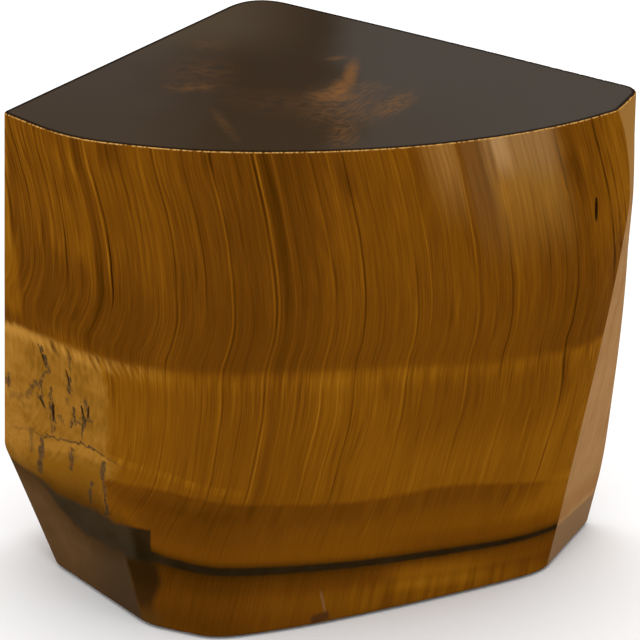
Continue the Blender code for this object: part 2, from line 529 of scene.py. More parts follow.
def tigers_eye():
    mat = bpy.data.materials.new("tigers_eye")
    mat.use_nodes = True
    tree = mat.node_tree
    n = Nodes(tree)
    shader = tree.nodes["Principled BSDF"]

    # millimetres on the stone
    place = n.new("ShaderNodeTexCoord").outputs["Object"]
    mm = n.scaled(place, (1000, 1000, 1000), tuple(ORIGIN))
    parts = n.new("ShaderNodeSeparateXYZ", {0: mm})
    x, y, z = (parts.outputs[k] for k in range(3))
    normal = n.new("ShaderNodeNewGeometry").outputs["Normal"]
    parts = n.new("ShaderNodeSeparateXYZ", {0: normal})
    facing = [parts.outputs[k] for k in range(3)]
    up = n.absolute(facing[2])

    # layers lie almost level and dip a little to the right
    sway = n.noise(n.scaled(mm, (0.09, 0.09, 0.09)))
    layer = n.add(z, n.mul(x, 0.1), n.mul(n.sub(sway, 0.5), 0.5))

    # the fibres lean one way in the upper part and the other way lower down
    bend_left = n.curve(layer, (
        (-4, -5.4), (0, -4.6), (5, -3.5), (9, -2.2), (12, -0.9), (15, 0.5),
        (18, 1.2), (21, 1.5), (24, 1.65), (28.3, 1.5), (30, 2.05), (31.5, 2.5),
        (33.5, 2.9), (36.5, 2.85), (40, 2.6), (44, 1.95), (49, 0.75), (54, 0.0),
        (58, -0.8)), -8, 8)
    bend_right = n.curve(layer, (
        (-4, -5.2), (0, -4.5), (5, -3.6), (9, -2.7), (12, -1.7), (15, -0.7),
        (18, 0.05), (21, 0.8), (24, 1.4), (28.5, 1.8), (30, 2.0), (31.5, 2.4),
        (33.5, 2.7), (36.5, 2.85), (40, 2.65), (44, 2.15), (49, 1.2), (54, 0.0),
        (58, -1.0)), -8, 8)
    bend = n.blend(bend_left, bend_right, n.smooth(x, -20, 3))
    wander = n.noise(n.scaled(mm, (0.22, 0.0, 0.075), (3.1, 0, 7)))
    shiver = n.noise(n.scaled(mm, (1.5, 0.0, 0.5), (0, 5.3, 0)))
    fx = n.add(n.sub(x, bend), n.mul(n.sub(wander, 0.5), 0.6),
               n.mul(n.sub(shiver, 0.5), 0.07))
    # round the right-hand corner and behind, the fibres part front to back too
    behind = n.math("MAXIMUM", n.sub(y, -3.0), 0.0)
    fy = n.sub(n.mul(behind, 0.9), n.mul(bend, n.smooth(behind, 0, 2, 0.5)))
    fibre = n.vector(fx, fy, layer)

    # every noise that the markings are made of
    ragged = n.noise(n.scaled(mm, (1.1, 1.1, 1.1), (9, 2, 0)), detail=2.0)
    broad = n.noise(n.scaled(fibre, (0.24, 0.2, 0.010), (1.7, 0, 0)), detail=1.0)
    bands = n.noise(n.scaled(fibre, (0.95, 0.9, 0.035), (0, 4, 1)), detail=1.0)
    lines = n.noise(n.scaled(fibre, (2.7, 2.6, 0.09), (8, 0, 3)), detail=1.0)
    hairs = n.noise(n.scaled(fibre, (6.5, 6.0, 0.22), (0, 0, 5)), detail=1.0)
    thread = n.noise(n.scaled(fibre, (1.25, 1.2, 0.02), (5, 11, 2)))
    glint = n.noise(n.scaled(fibre, (1.05, 1.1, 0.02), (15, 1, 8)))
    patchy = n.noise(n.scaled(mm, (0.38, 0.3, 0.13), (2, 0, 9)), detail=1.0)
    patchy2 = n.noise(n.scaled(mm, (0.48, 0.42, 0.16), (7, 3, 4)), detail=1.0)
    web = n.noise(n.scaled(fibre, (2.1, 2.0, 0.03), (2, 6, 11)))
    edge = n.noise(n.scaled(mm, (0.5, 0.5, 0.35), (0, 0, 4)), detail=2.0)
    ticks = n.noise(n.vector(n.mul(n.mad(z, 0.4, x), 2.3), n.mul(z, 0.35), 2.0),
                    detail=1.0)
    cloud = n.noise(n.scaled(mm, (0.30, 0.30, 0.45), (6, 0, 0)), detail=2.0)
    fine = n.noise(n.vector(n.mul(fx, 3.0), n.mul(fy, 3.0), n.mul(z, 0.6)),
                   detail=1.0)
    wobble = n.noise(n.scaled(mm, (1.1, 1.1, 0.8), (4, 4, 4)), detail=1.0)
    wobble2 = n.noise(n.scaled(mm, (1.0, 1.0, 0.9), (14, 1, 4)), detail=1.0)
    nick = n.noise(n.scaled(mm, (3.4, 3.4, 2.2), (4, 8, 1)), detail=1.0)
    cloud_top = n.noise(n.scaled(mm, (0.07, 0.1, 0.0), (3, 0, 0)), detail=1.0)
    haze = n.noise(n.vector(n.mul(x, 0.24), n.mul(y, 0.18), 7.0), detail=2.0)
    stem = n.math("SQRT", n.mad(n.sub(n.sub(x, 2.1), n.mul(y, 0.06)),
                                n.sub(n.sub(x, 2.1), n.mul(y, 0.06)), 0.5))
    sweep = n.sub(y, n.mul(stem, n.blend(0.35, 1.3, n.smooth(x, 1.5, 4.5))))
    curl = n.mul(n.sub(haze, 0.5), 3.5)
    barbs = n.noise(n.vector(n.mul(n.add(sweep, n.mul(curl, 0.6)), 1.7),
                             n.mul(n.add(x, curl), 1.0), 0.0),
                    detail=3.0, rough=0.68)
    wisps = n.noise(n.vector(n.mul(x, 0.55), n.mul(n.add(y, curl), 0.9), 3.0),
                    detail=3.0, rough=0.62)
    spark = n.noise(n.scaled(mm, (3.0, 3.0, 3.0)), detail=1.0)
    gloss = n.noise(n.scaled(mm, (0.6, 0.6, 0.6), (1, 2, 3)), detail=1.0)
    weave = n.noise(n.scaled(place, (3500, 3500, 250)), detail=1.0)
    onto_flat = n.new("ShaderNodeAttribute", attribute_name="onto_flat",
                      attribute_type="GEOMETRY").outputs["Fac"]
    inset = n.new("ShaderNodeAttribute", attribute_name="inset",
                  attribute_type="GEOMETRY").outputs["Fac"]
    hollow = n.new("ShaderNodeAttribute", attribute_name="hollow",
                   attribute_type="GEOMETRY").outputs["Fac"]

    x, y, z, layer, fx = n.after(hairs, x, y, z, layer, fx)

    # boundaries between the layers, as heights that change across the stone
    first = n.sub(layer, n.curve(x, (
        (-34, 23.6), (-28, 25.3), (-23, 26.65), (-17, 27.5), (-12, 28.1), (-5, 28.6),
        (8, 29.2), (16, 28.8), (24, 28.7), (34, 27.4)), 0, 40))
    second = n.sub(layer, n.curve(x, (
        (-34, 12.4), (-21, 13.4), (-17, 14.35), (-8, 14.1), (3, 14.05), (8, 14.4),
        (13.7, 14.8), (20, 14.05), (23, 13.3), (25.4, 12.3), (34, 11.0)), 0, 40))
    comb = n.sub(layer, n.curve(x, (
        (-34, 11.5), (-28, 12.9), (-24, 15.3), (-21, 16.1), (-17, 16.4), (-10, 15.6),
        (0, 15.3), (34, 15.0)), 0, 40))
    seam_at = n.curve(x, (
        (-34, 7.6), (-31.1, 6.9), (-29, 6.95), (-26.7, 5.95), (-24.6, 5.8),
        (-22.6, 6.2), (-21, 6.5), (-19.4, 7.1), (-18.5, 7.0), (-17, 6.5), (-13, 6.4),
        (-8, 6.4), (-2, 6.5), (8, 6.8), (16, 7.0), (24.5, 6.9), (34, 6.4)), 0, 20)
    seam_half = n.curve(x, (
        (-34, 0.1), (-31.1, 0.12), (-29, 0.25), (-26.7, 0.9), (-24.6, 1.6),
        (-22.6, 1.85), (-21, 1.75), (-19.4, 1.5), (-18.3, 1.2), (-17.3, 0.7),
        (-16.6, 0.58), (-13, 0.52), (-4, 0.46), (8, 0.42), (18, 0.36),
        (28, 0.28), (34, 0.28)), 0, 4)
    seam = n.sub(n.absolute(n.sub(layer, seam_at)),
                 n.mul(seam_half, n.mad(ragged, 0.5, 0.75)))
    below = n.smooth(n.sub(seam_at, layer), -0.1, 0.3)

    # the soft ridge that parts the left face from the front
    ridge = n.add(x, 17.6, n.mul(z, 7.5 / HEIGHT))
    frontness = n.smooth(ridge, -0.6, 0.6)

    # -------------------------------------------------- tone of the fibres
    dark_hair = n.mul(n.smooth(n.absolute(n.sub(thread, 0.5)), 0.034, 0.0),
                      n.smooth(patchy, 0.38, 0.62))
    pale_hair = n.mul(n.smooth(n.absolute(n.sub(glint, 0.52)), 0.034, 0.0),
                      n.smooth(patchy2, 0.38, 0.62))

    # closer, finer ones, thickest at the upper left
    crowd = n.mad(n.mul(n.smooth(x, -8, -20), n.smooth(layer, 26, 34)), 0.75, 0.3)
    dark_fine = n.mul(n.smooth(n.absolute(n.sub(web, 0.45)), 0.030, 0.0),
                      n.smooth(patchy2, 0.62, 0.42), crowd)
    pale_fine = n.mul(n.smooth(n.absolute(n.sub(web, 0.57)), 0.034, 0.0),
                      n.smooth(patchy, 0.36, 0.56), crowd)

    # how strongly the fibres show, layer by layer
    strength = n.curve(layer, (
        (-4, 0.35), (4, 0.5), (9, 0.45), (13, 0.45), (16, 0.75), (22, 0.8),
        (26, 0.9), (29, 0.65), (31, 0.7), (34, 0.78), (38, 0.92), (46, 0.95),
        (58, 0.92)), 0, 2)
    strength = n.mul(strength, n.curve(x, (
        (-34, 1.05), (-26, 1.1), (-20, 0.95), (-14, 0.78), (-6, 0.73), (0, 0.75),
        (8, 0.72), (18, 0.68), (25, 0.75), (28, 0.85), (34, 0.7)), 0, 2))

    # the clearest single bands and lines: (across, half width, tone)
    zones = (
        (n.window(layer, 32, 36, 44, 49), (
            (-33.65, 0.3, -0.12), (-27.84, 0.13, -0.15), (-19.9, 1.1, 0.035),
            (-23.53, 0.14, -0.24), (1.5, 0.12, 0.07))),
        (n.smooth(layer, 32, 37), (
            (-30.3, 0.14, -0.07), (-28.9, 0.16, -0.08), (-27.2, 0.3, 0.035),
            (-23.78, 0.14, 0.12), (-26.4, 0.13, -0.08), (-18.4, 0.16, 0.07),
            (-14.0, 0.13, -0.12), (-21.6, 0.12, -0.07), (8.2, 0.12, 0.09),
            (15.4, 0.5, -0.05), (21.9, 0.1, -0.12), (27.15, 0.16, -0.20),
            (27.9, 0.11, -0.13), (28.55, 0.13, -0.12), (29.5, 0.12, -0.08),
            (26.3, 0.14, 0.05))),
        (n.smooth(layer, 25, 30), (
            (-35.0, 0.9, 0.06), (-32.5, 1.0, -0.05), (-24.65, 0.62, -0.105),
            (-25.55, 0.22, 0.05), (-4.35, 0.5, -0.045), (4.8, 0.3, 0.04),
            (16.45, 0.13, -0.15), (20.3, 0.12, -0.16), (24.6, 0.5, -0.04),
            (-31.5, 0.13, -0.08))),
        (n.smooth(layer, 11, 16), (
            (-16.95, 0.14, -0.15), (-16.7, 0.13, 0.08), (-11.45, 0.15, 0.11),
            (-11.2, 0.12, -0.12), (-8.0, 0.3, 0.04), (-7.42, 0.14, 0.13),
            (-7.16, 0.1, -0.17), (-6.9, 0.15, 0.18), (-5.95, 0.75, -0.09),
            (-5.2, 0.12, 0.09), (-3.0, 0.16, -0.04), (-1.62, 0.13, 0.10),
            (-1.35, 0.12, -0.07), (0.15, 0.12, 0.09), (1.74, 0.13, -0.17),
            (3.6, 0.1, -0.07), (6.95, 0.12, -0.08), (9.9, 0.2, 0.045),
            (12.9, 0.14, 0.09), (13.2, 0.25, -0.05), (17.05, 0.14, 0.07),
            (23.15, 0.14, -0.19))),
        (n.window(layer, 7, 11, 34, 40), (
            (6.71, 0.13, 0.09), (22.85, 0.14, 0.05), (-13.2, 0.12, -0.09),
            (-9.4, 0.14, -0.06), (-3.9, 0.13, 0.06))),
    )
    single = 0.0
    for zone, marks in zones:
        total = 0.0
        for k, (at, half, amount) in enumerate(marks):
            if k % 4 == 3:
                fx, = n.after(total, fx)
            d = n.absolute(n.sub(fx, at))
            total = n.mad(n.smooth(d, half, half * 0.15), amount, total)
        single = n.mad(total, zone, single)
        fx, = n.after(single, fx)
    front_side = n.smooth(facing[1], 0.35, 0.1)
    single = n.mul(single, front_side, n.mad(n.smooth(patchy, 0.3, 0.6), 0.55, 0.5))

    grain = n.add(n.mul(n.sub(broad, 0.5), 0.10), n.mul(n.sub(bands, 0.5), 0.10),
                  n.mul(n.sub(lines, 0.5), 0.14), n.mul(n.sub(hairs, 0.5), 0.19),
                  n.mul(dark_hair, -0.085), n.mul(pale_hair, 0.06),
                  n.mul(dark_fine, -0.07), n.mul(pale_fine, 0.05))
    # a comb of short bright fibre ends hangs just under the first boundary
    fringe = n.window(first, -3.2, -0.9, -0.6, 0.3)
    grain = n.mul(grain, n.mad(fringe, 0.6, 1.0))
    fibres = n.add(n.mul(grain, strength),
                   n.mul(single, n.mad(strength, 0.45, 0.42)))

    upper = n.curve(layer, (
        (20, 0.40), (30, 0.405), (34, 0.41), (40, 0.42), (48, 0.425), (58, 0.43)), 0, 1)
    middle = n.curve(layer, (
        (8, 0.46), (15, 0.468), (18, 0.472), (24, 0.470), (28, 0.465), (32, 0.46)), 0, 1)
    lower = n.curve(layer, (
        (-4, 0.38), (0, 0.405), (2.6, 0.425), (4.6, 0.365), (6.4, 0.33), (7.6, 0.44),
        (9.5, 0.44), (12, 0.42), (15, 0.41), (18, 0.41)), 0, 1)
    soft = n.curve(x, ((-34, 1.0), (-24, 1.0), (-16, 0.9), (-8, 1.0), (8, 1.3),
                       (20, 1.1), (26, 0.6), (34, 0.6)), 0, 2)
    drift = n.mul(n.add(n.mul(n.sub(bands, 0.5), 0.6), n.mul(n.sub(lines, 0.5), 0.8)),
                  1.9)
    body = n.blend(n.blend(lower, middle, n.smooth(n.mad(drift, 0.25, second),
                                                   -0.45, 0.3)), upper,
                   n.smooth(n.math("DIVIDE", n.add(first, drift), soft), -1.2, 0.8))
    band = n.mul(n.window(second, -3.4, -1.3, -0.5, 0.1),
                 n.mad(bands, -0.16, 0.062))
    across = n.curve(x, (
        (-34, 0.01), (-30, 0.015), (-26, 0.035), (-20, 0.02), (-12, -0.005), (-5, -0.02), (2, 0.008),
        (8, 0.02), (15, 0.025), (21, 0.025), (26, 0.0), (34, 0.02)), -1, 1)
    # golden streaks low down on the right, a pale scratch and the upper comb
    streak = n.mul(n.window(layer, 0.2, 1.6, 3.6, 5.0), n.window(x, 0, 5, 17, 24),
                   n.smooth(bands, 0.42, 0.62), 0.045)
    comb_line = n.mul(n.window(n.mad(drift, 0.15, comb), -1.1, -0.3, 0.0, 0.25),
                      n.window(x, -24, -22, -12, -5), n.smooth(lines, 0.3, 0.7), 0.07)
    # broad darker and brighter pools in the layers
    pools = n.add(
        n.mul(n.window(layer, 2.2, 3.6, 4.8, 7.0), n.window(x, 5, 9, 14, 20), 0.085),
        n.mul(n.window(layer, -2, 0, 12, 14), n.window(x, -22, -17, -12, -6), -0.055),
        n.mul(n.smooth(layer, 5.6, 3.0), n.window(x, -9, -5, 3, 8), 0.03),
        n.mul(n.window(layer, 6.6, 7.4, 8.2, 10.2), n.window(x, 4, 12, 22, 25), -0.07),
        n.mul(n.window(layer, 7.4, 10, 12, 14), n.window(x, 18, 24, 27, 30), 0.06),
        n.mul(n.window(layer, 17, 23, 27, 29), n.window(x, 5, 10, 22, 27), -0.045),
        n.mul(n.smooth(layer, 36, 50), n.window(x, -10, -4, -1, 4), -0.03),
        n.mul(n.smooth(layer, 36, 46), n.smooth(x, 26, 30), 0.07),
        n.mul(n.window(layer, 9, 12, 20, 28), n.smooth(x, 20, 24), 0.035),
        n.mul(n.smooth(layer, 32, 38), n.smooth(x, -30.85, -31.25), 0.11),
        n.mul(n.window(layer, 25, 27, 33, 39), n.smooth(x, -30.0, -30.7), 0.10),
        n.mul(n.window(layer, 26.5, 28.5, 34, 39), n.window(x, -29.5, -27.5, -20, -14),
              -0.045),
        n.mul(n.window(layer, 4.0, 5.0, 6.2, 7.2), n.smooth(x, 4, 9), 0.05),
        n.mul(n.smooth(layer, 37, 42), n.smooth(x, -26, -31), 0.035))
    tone = n.add(body, across, band, fibres, streak, comb_line,
                 n.mul(fringe, n.mad(lines, 0.10, -0.02)), pools)

    colour = n.ramp(tone, (
        (0.0, srgb(18, 9, 1)), (0.16, srgb(40, 21, 2)), (0.28, srgb(72, 40, 2)),
        (0.35, srgb(90, 51, 6)), (0.41, srgb(105, 60, 9)), (0.47, srgb(120, 72, 10)),
        (0.54, srgb(138, 87, 14)), (0.62, srgb(158, 106, 26)),
        (0.72, srgb(184, 136, 58)), (0.9, srgb(224, 186, 122))))

    x, y, z, layer, fx, first, seam_at, ridge = n.after(
        tone, x, y, z, layer, fx, first, seam_at, ridge)
    # a painted reflection of the bright surroundings under the rim at the right, browner and dimmer
    # to its left
    streaky = n.mad(n.sub(lines, 0.5), 0.9, n.mul(n.sub(bands, 0.5), 0.5))
    painted_reflection = n.mul(n.window(n.add(fx, streaky), 15.1, 16.5, 21.8, 24.2),
                 n.smooth(layer, 38, 51), front_side)
    reflection_colour = n.mix(srgb(182, 132, 58), srgb(188, 149, 96), n.smooth(layer, 48, 54))
    colour = n.mix(colour, reflection_colour, n.mul(painted_reflection, n.mad(lines, 0.48, 0.13)))
    # a paler crest in the painted reflection
    reflection_crest = n.mul(n.window(n.add(fx, streaky), 16.3, 17.1, 17.7, 18.8),
                  n.smooth(layer, 49, 53), front_side)
    colour = n.mix(colour, srgb(206, 162, 112), n.mul(reflection_crest, 0.3))
    # a second painted reflection further to the left
    near_reflection = n.mul(n.window(n.add(fx, streaky), 8.6, 11.6, 12.6, 13.4),
                      n.smooth(layer, 43, 54), front_side)
    colour = n.mix(colour, srgb(170, 122, 62), n.mul(near_reflection, n.mad(lines, 0.9, 0.05)))
    # a browner, dimmer painted reflection between the two
    dim_reflection = n.mul(n.window(n.add(fx, streaky), 13.1, 13.9, 15.6, 16.7),
                 n.smooth(layer, 38, 50), front_side)
    colour = n.mix(colour, srgb(116, 80, 42), n.mul(dim_reflection, 0.5))

    # ------------------------------------------------- the tan patch, left
    x, z, layer, first = n.after(dim_reflection, x, z, layer, first)
    border = n.add(ridge, n.mul(n.sub(edge, 0.5), 1.5), n.mul(n.sub(lines, 0.5), 0.9),
                   n.mul(n.smooth(layer, 13.8, 12.2), 2.0),
                   n.mul(n.window(layer, 12.5, 14, 16, 20), 0.7))
    left_of = n.smooth(border, 0.0, -0.8)
    jag = n.mul(n.sub(ticks, 0.5), 1.6)
    patch = n.mul(left_of, n.smooth(n.add(first, jag), 0.6, -1.1), n.sub(1.0, below),
                  front_side)
    far_left = n.smooth(x, -28, -32)
    tan = n.ramp(n.add(n.mul(cloud, 0.5), n.mul(n.sub(fine, 0.5), 0.4),
                       n.mul(far_left, 0.1), 0.12), (
        (0.2, srgb(124, 82, 20)), (0.38, srgb(149, 101, 32)),
        (0.55, srgb(164, 114, 42)), (0.8, srgb(184, 134, 62))))
    colour = n.mix(colour, tan, n.mul(patch, 0.95))

    # under a hairline the patch is first pale, then deepens towards the seam
    rise = n.curve(x, ((-34, 13.6), (-31.8, 14.6), (-29.3, 15.6), (-28.2, 15.7),
                       (-24.1, 17.7), (-21.7, 17.8), (-18, 17.4)), 0, 30)
    under_hair = n.sub(z, rise)
    veer = n.mul(n.sub(edge, 0.5), 0.8)
    deep = n.mul(patch, n.smooth(n.add(under_hair, veer), -1.6, -3.2),
                 n.smooth(x, -31.5, -27.5))
    colour = n.mix(colour, n.mix(srgb(96, 58, 12), srgb(130, 84, 16),
                                 n.smooth(under_hair, -7.5, -2.5)), n.mul(deep, 0.9))
    light_band = n.mul(n.window(n.add(under_hair, n.mul(veer, 0.6)),
                                -1.9, -1.2, -0.5, -0.1),
                       n.window(x, -29.0, -28.4, -22.5, -19.5), front_side,
                       n.mad(fine, 0.7, 0.4))
    colour = n.mix(colour, srgb(172, 120, 44), n.mul(light_band, 0.7))

    # short golden fibre ends along its upper border
    glow = n.mul(n.window(n.add(first, n.mul(jag, 0.7)), -1.9, -0.5, -0.3, 0.5),
                 n.smooth(x, -13, -24), front_side)
    colour = n.mix(colour, srgb(206, 150, 66),
                   n.mul(glow, n.smooth(n.mad(far_left, 0.3, ticks), 0.36, 0.72), 0.5))
    slits = n.mul(n.window(first, -2.2, -0.9, -0.4, 0.2), n.window(x, -30, -27.5, -22, -19),
                  n.smooth(ticks, 0.42, 0.33), front_side)
    colour = n.mix(colour, srgb(84, 54, 22), n.mul(slits, 0.75))

    # dark inclusions: ragged strokes between two points, with width and depth
    wx = n.mad(n.sub(wobble, 0.5), 0.9, x)
    wz = n.mad(n.sub(wobble2, 0.5), 1.3, z)
    chew = n.mul(n.sub(nick, 0.5), 0.75)

    def stroke(x0, z0, x1, z1, half, depth, rag=1.0):
        dx, dz = x1 - x0, z1 - z0
        size = dx * dx + dz * dz
        px, pz = n.sub(wx, x0), n.sub(wz, z0)
        t = n.math("MULTIPLY_ADD", px, dx / size, n.mul(pz, dz / size), clamp=True)
        ex, ez = n.mad(t, -dx, px), n.mad(t, -dz, pz)
        d = n.math("SQRT", n.mad(ex, ex, n.mul(ez, ez)))
        return n.mul(n.smooth(n.mad(chew, rag, d), half, half * 0.12), depth)

    strokes = (
        (-28.3, 26.7, -28.0, 25.6, 0.18, 0.9), (-27.9, 25.7, -27.6, 24.2, 0.36, 0.9),
        (-27.8, 24.0, -28.5, 22.6, 0.25, 0.7), (-28.6, 22.3, -29.3, 21.3, 0.42, 0.7),
        (-29.4, 21.0, -30.0, 19.7, 0.42, 0.5), (-28.4, 22.7, -28.5, 20.5, 0.22, 0.85),
        (-28.5, 20.2, -28.1, 19.5, 0.40, 0.8), (-27.2, 22.4, -27.4, 20.8, 0.20, 0.75),
        (-27.3, 20.4, -27.1, 18.3, 0.42, 0.85), (-27.1, 18.3, -27.3, 16.8, 0.30, 0.5),
        (-25.2, 27.2, -25.1, 25.8, 0.25, 0.5), (-25.3, 24.8, -25.3, 22.9, 0.38, 0.85),
        (-25.6, 22.2, -25.5, 21.5, 0.22, 0.45), (-24.8, 21.3, -25.2, 18.9, 0.28, 0.85),
        (-24.9, 20.2, -24.2, 19.9, 0.26, 0.7), (-23.9, 22.6, -24.1, 18.3, 0.20, 0.85),
        (-23.4, 23.1, -23.2, 20.8, 0.36, 0.8), (-23.7, 21.2, -24.0, 19.4, 0.33, 0.85),
        (-32.05, 20.8, -32.1, 19.5, 0.45, 0.8), (-31.8, 18.4, -30.2, 19.2, 0.45, 0.3),
        (-30.9, 18.5, -29.9, 18.2, 0.45, 0.2), (-26.5, 19.4, -26.3, 18.6, 0.22, 0.5),
    )
    wx, wz = n.after(slits, wx, wz)
    inclusion = stroke(*strokes[0])
    for k, item in enumerate(strokes[1:]):
        if k % 3 == 2:
            wx, wz = n.after(inclusion, wx, wz)
        inclusion = n.top(inclusion, stroke(*item))
    # a hairline crosses below them, and short cracks drop from it
    cracks = (
        (-31.8, 14.5, -29.3, 15.6, 0.20, 0.35), (-29.3, 15.6, -28.2, 15.7, 0.20, 0.7),
        (-28.2, 15.7, -24.1, 17.7, 0.19, 0.85), (-24.1, 17.7, -21.9, 17.8, 0.18, 0.85),
        (-21.9, 17.8, -19.8, 17.4, 0.16, 0.4), (-29.8, 15.6, -29.7, 12.7, 0.30, 0.5),
        (-28.5, 15.2, -28.9, 10.6, 0.36, 0.85), (-25.2, 16.2, -25.5, 13.6, 0.28, 0.75),
        (-21.8, 16.9, -22.0, 14.8, 0.32, 0.8), (-21.7, 12.6, -21.7, 10.6, 0.30, 0.9),
        (-23.2, 13.7, -23.4, 10.8, 0.30, 0.9), (-21.9, 14.8, -21.7, 12.6, 0.26, 0.75),
    )
    for k, item in enumerate(cracks):
        if k % 3 == 0:
            wx, wz = n.after(inclusion, wx, wz)
        inclusion = n.top(inclusion, stroke(*item, 0.25))
    stain_colour = n.mix(srgb(58, 46, 32), srgb(90, 67, 42), n.smooth(nick, 0.35, 0.65))
    colour = n.mix(colour, stain_colour, n.mul(inclusion, front_side))

    x, z, layer, onto_flat = n.after(inclusion, x, z, layer, onto_flat)
    # the narrow flat cuts the fibres at a slant, which shows them pale; part of this pale tan is a
    # painted sheen, a reflection of the bright surroundings
    facing_right = n.mul(n.smooth(onto_flat, -0.07, 0.05),
                         n.smooth(facing[0], 0.66, 0.76))
    pale = n.ramp(n.add(n.mul(lines, 0.4), n.mul(bands, 0.3), n.mul(cloud, 0.3)), (
        (0.3, srgb(152, 110, 66)), (0.5, srgb(162, 121, 76)),
        (0.7, srgb(172, 131, 86))))
    pale = n.mix(pale, srgb(152, 107, 46), n.mul(n.smooth(z, 37, 49), 0.85))
    pale = n.mix(pale, srgb(134, 104, 74), n.mul(below, 0.95))
    colour = n.mix(colour, pale, n.mul(facing_right, 0.97))

    # ------------------------------------------- ironstone seam and its foot
    warm = n.mul(n.window(n.sub(layer, seam_at), 0.2, 0.8, 1.6, 4.0), 0.25)
    colour = n.mix(colour, srgb(122, 70, 4), n.mul(warm, frontness))
    # below the seam the low left facet is grey-brown: partly its own colour, partly a painted
    # reflection
    foot = n.ramp(cloud, ((0.3, srgb(86, 62, 37)), (0.7, srgb(96, 69, 42))))
    foot = n.mix(foot, srgb(70, 53, 35), n.smooth(x, -26, -20))
    step = n.add(x, n.mul(z, 0.26), 17.85)     # where the foot meets the front
    left_low = n.mul(n.smooth(step, 0.12, -0.25), below, front_side)
    colour = n.mix(colour, foot, n.mul(left_low, 0.97))
    base_brown = n.mul(n.window(n.add(step, n.mul(veer, 1.5)), -0.5, 0.2, 0.9, 3.0),
                       n.smooth(z, 2.8, 1.2), front_side)
    colour = n.mix(colour, srgb(84, 56, 20), n.mul(base_brown, 0.85))
    column = n.mul(n.smooth(n.add(step, n.mul(veer, 0.4)), -0.25, 0.15),
                   n.smooth(n.sub(step, n.mul(n.smooth(z, 1.5, 6.0), 2.0)), 1.8, 0.7),
                   n.smooth(n.mad(veer, 1.2, z), 0.9, 2.6), below, front_side)
    colour = n.mix(colour, n.mix(srgb(58, 35, 12), srgb(42, 26, 7),
                                 n.smooth(z, 2.0, 5.5)), n.mul(column, 0.93))
    dark_side = n.sub(1.0, facing_right)
    thick = n.mad(n.smooth(x, -17, -22), 1.6, 1.0)    # softer where it is thick
    seam = n.math("DIVIDE", seam, thick)
    seam_core = n.mul(n.smooth(seam, 0.15, -0.2), dark_side)
    seam_halo = n.mul(n.smooth(seam, 0.9, -0.1), dark_side)
    block = n.mul(n.window(n.add(x, n.mul(n.sub(ragged, 0.5), 0.3)),
                           -20.4, -19.6, -17.2, -16.9),
                  n.window(n.add(layer, n.mul(n.add(x, 19.4), -0.3),
                                 n.mul(n.sub(ragged, 0.5), 0.5)),
                           4.6, 5.4, 8.6, 9.1), front_side)
    seam_core = n.top(seam_core, block)
    colour = n.mix(colour, srgb(56, 33, 4), n.mul(seam_halo, 0.5))
    iron = n.ramp(n.add(n.mul(cloud, 0.5), n.mul(frontness, 0.3)), (
        (0.2, srgb(55, 45, 31)), (0.5, srgb(40, 30, 15)), (0.7, srgb(26, 18, 6))))
    colour = n.mix(colour, iron, n.mul(seam_core, 0.94))

    # low in front: a short pale scratch with a dusky stain under it
    scratch = n.mul(n.smooth(n.absolute(n.add(x, n.mul(z, 0.18), -0.75)), 0.2, 0.04),
                    n.window(z, 0.9, 1.8, 3.2, 4.2), front_side)
    colour = n.mix(colour, srgb(128, 96, 66), n.mul(scratch, 0.6))
    stain = n.mul(n.window(n.mad(veer, 1.0, x), -1.1, -0.5, 0.5, 1.1),
                  n.window(n.mad(veer, 0.8, z), 0.1, 0.4, 0.9, 1.5), front_side)
    colour = n.mix(colour, srgb(62, 38, 26), n.mul(stain, 0.7))

    # ------------------------------------------------------- top and base
    x, y, z, inset, hollow = n.after(stain, x, y, z, inset, hollow)
    # the top's greyer, paler tones at the left, right and back are a painted reflection of the
    # surroundings; the browner parts are the stone's own colour
    brownish = n.window(n.add(x, n.mul(n.sub(cloud_top, 0.5), 8.0)),
                        -20, -8, -1, 5)
    top_colour = n.mix(n.mix(srgb(63, 54, 46), srgb(67, 61, 55), n.smooth(x, -6, 8)),
                       srgb(51, 39, 28), brownish)
    # a paler painted reflection towards the back left
    painted_reflection_back = n.mul(n.smooth(y, 4, 16), n.window(x, -28, -20, -11, 1), 0.6)
    top_colour = n.mix(top_colour, srgb(78, 67, 53), painted_reflection_back)
    # browner towards the front left
    browner_front = n.mul(n.smooth(x, 24, 4), n.smooth(y, 2, -14), 0.35)
    top_colour = n.mix(top_colour, srgb(58, 45, 31), browner_front)
    # plumes of golden fibre ends, with barbs that sweep up from a middle line

    def blob(cx, cy, rx, ry, soft=0.5, wobble=0.5, turn=0.0):
        c, s_ = math.cos(turn), math.sin(turn)
        dx, dy = n.sub(x, cx), n.sub(y, cy)
        a = n.mul(n.add(n.mul(dx, c), n.mul(dy, s_)), 1.0 / rx)
        b = n.mul(n.add(n.mul(dx, -s_), n.mul(dy, c)), 1.0 / ry)
        d = n.math("SQRT", n.add(n.mul(a, a), n.mul(b, b)))
        d = n.add(d, n.mul(n.sub(wisps, 0.5), wobble))
        return n.smooth(d, 1.0 + soft, 1.0 - soft)

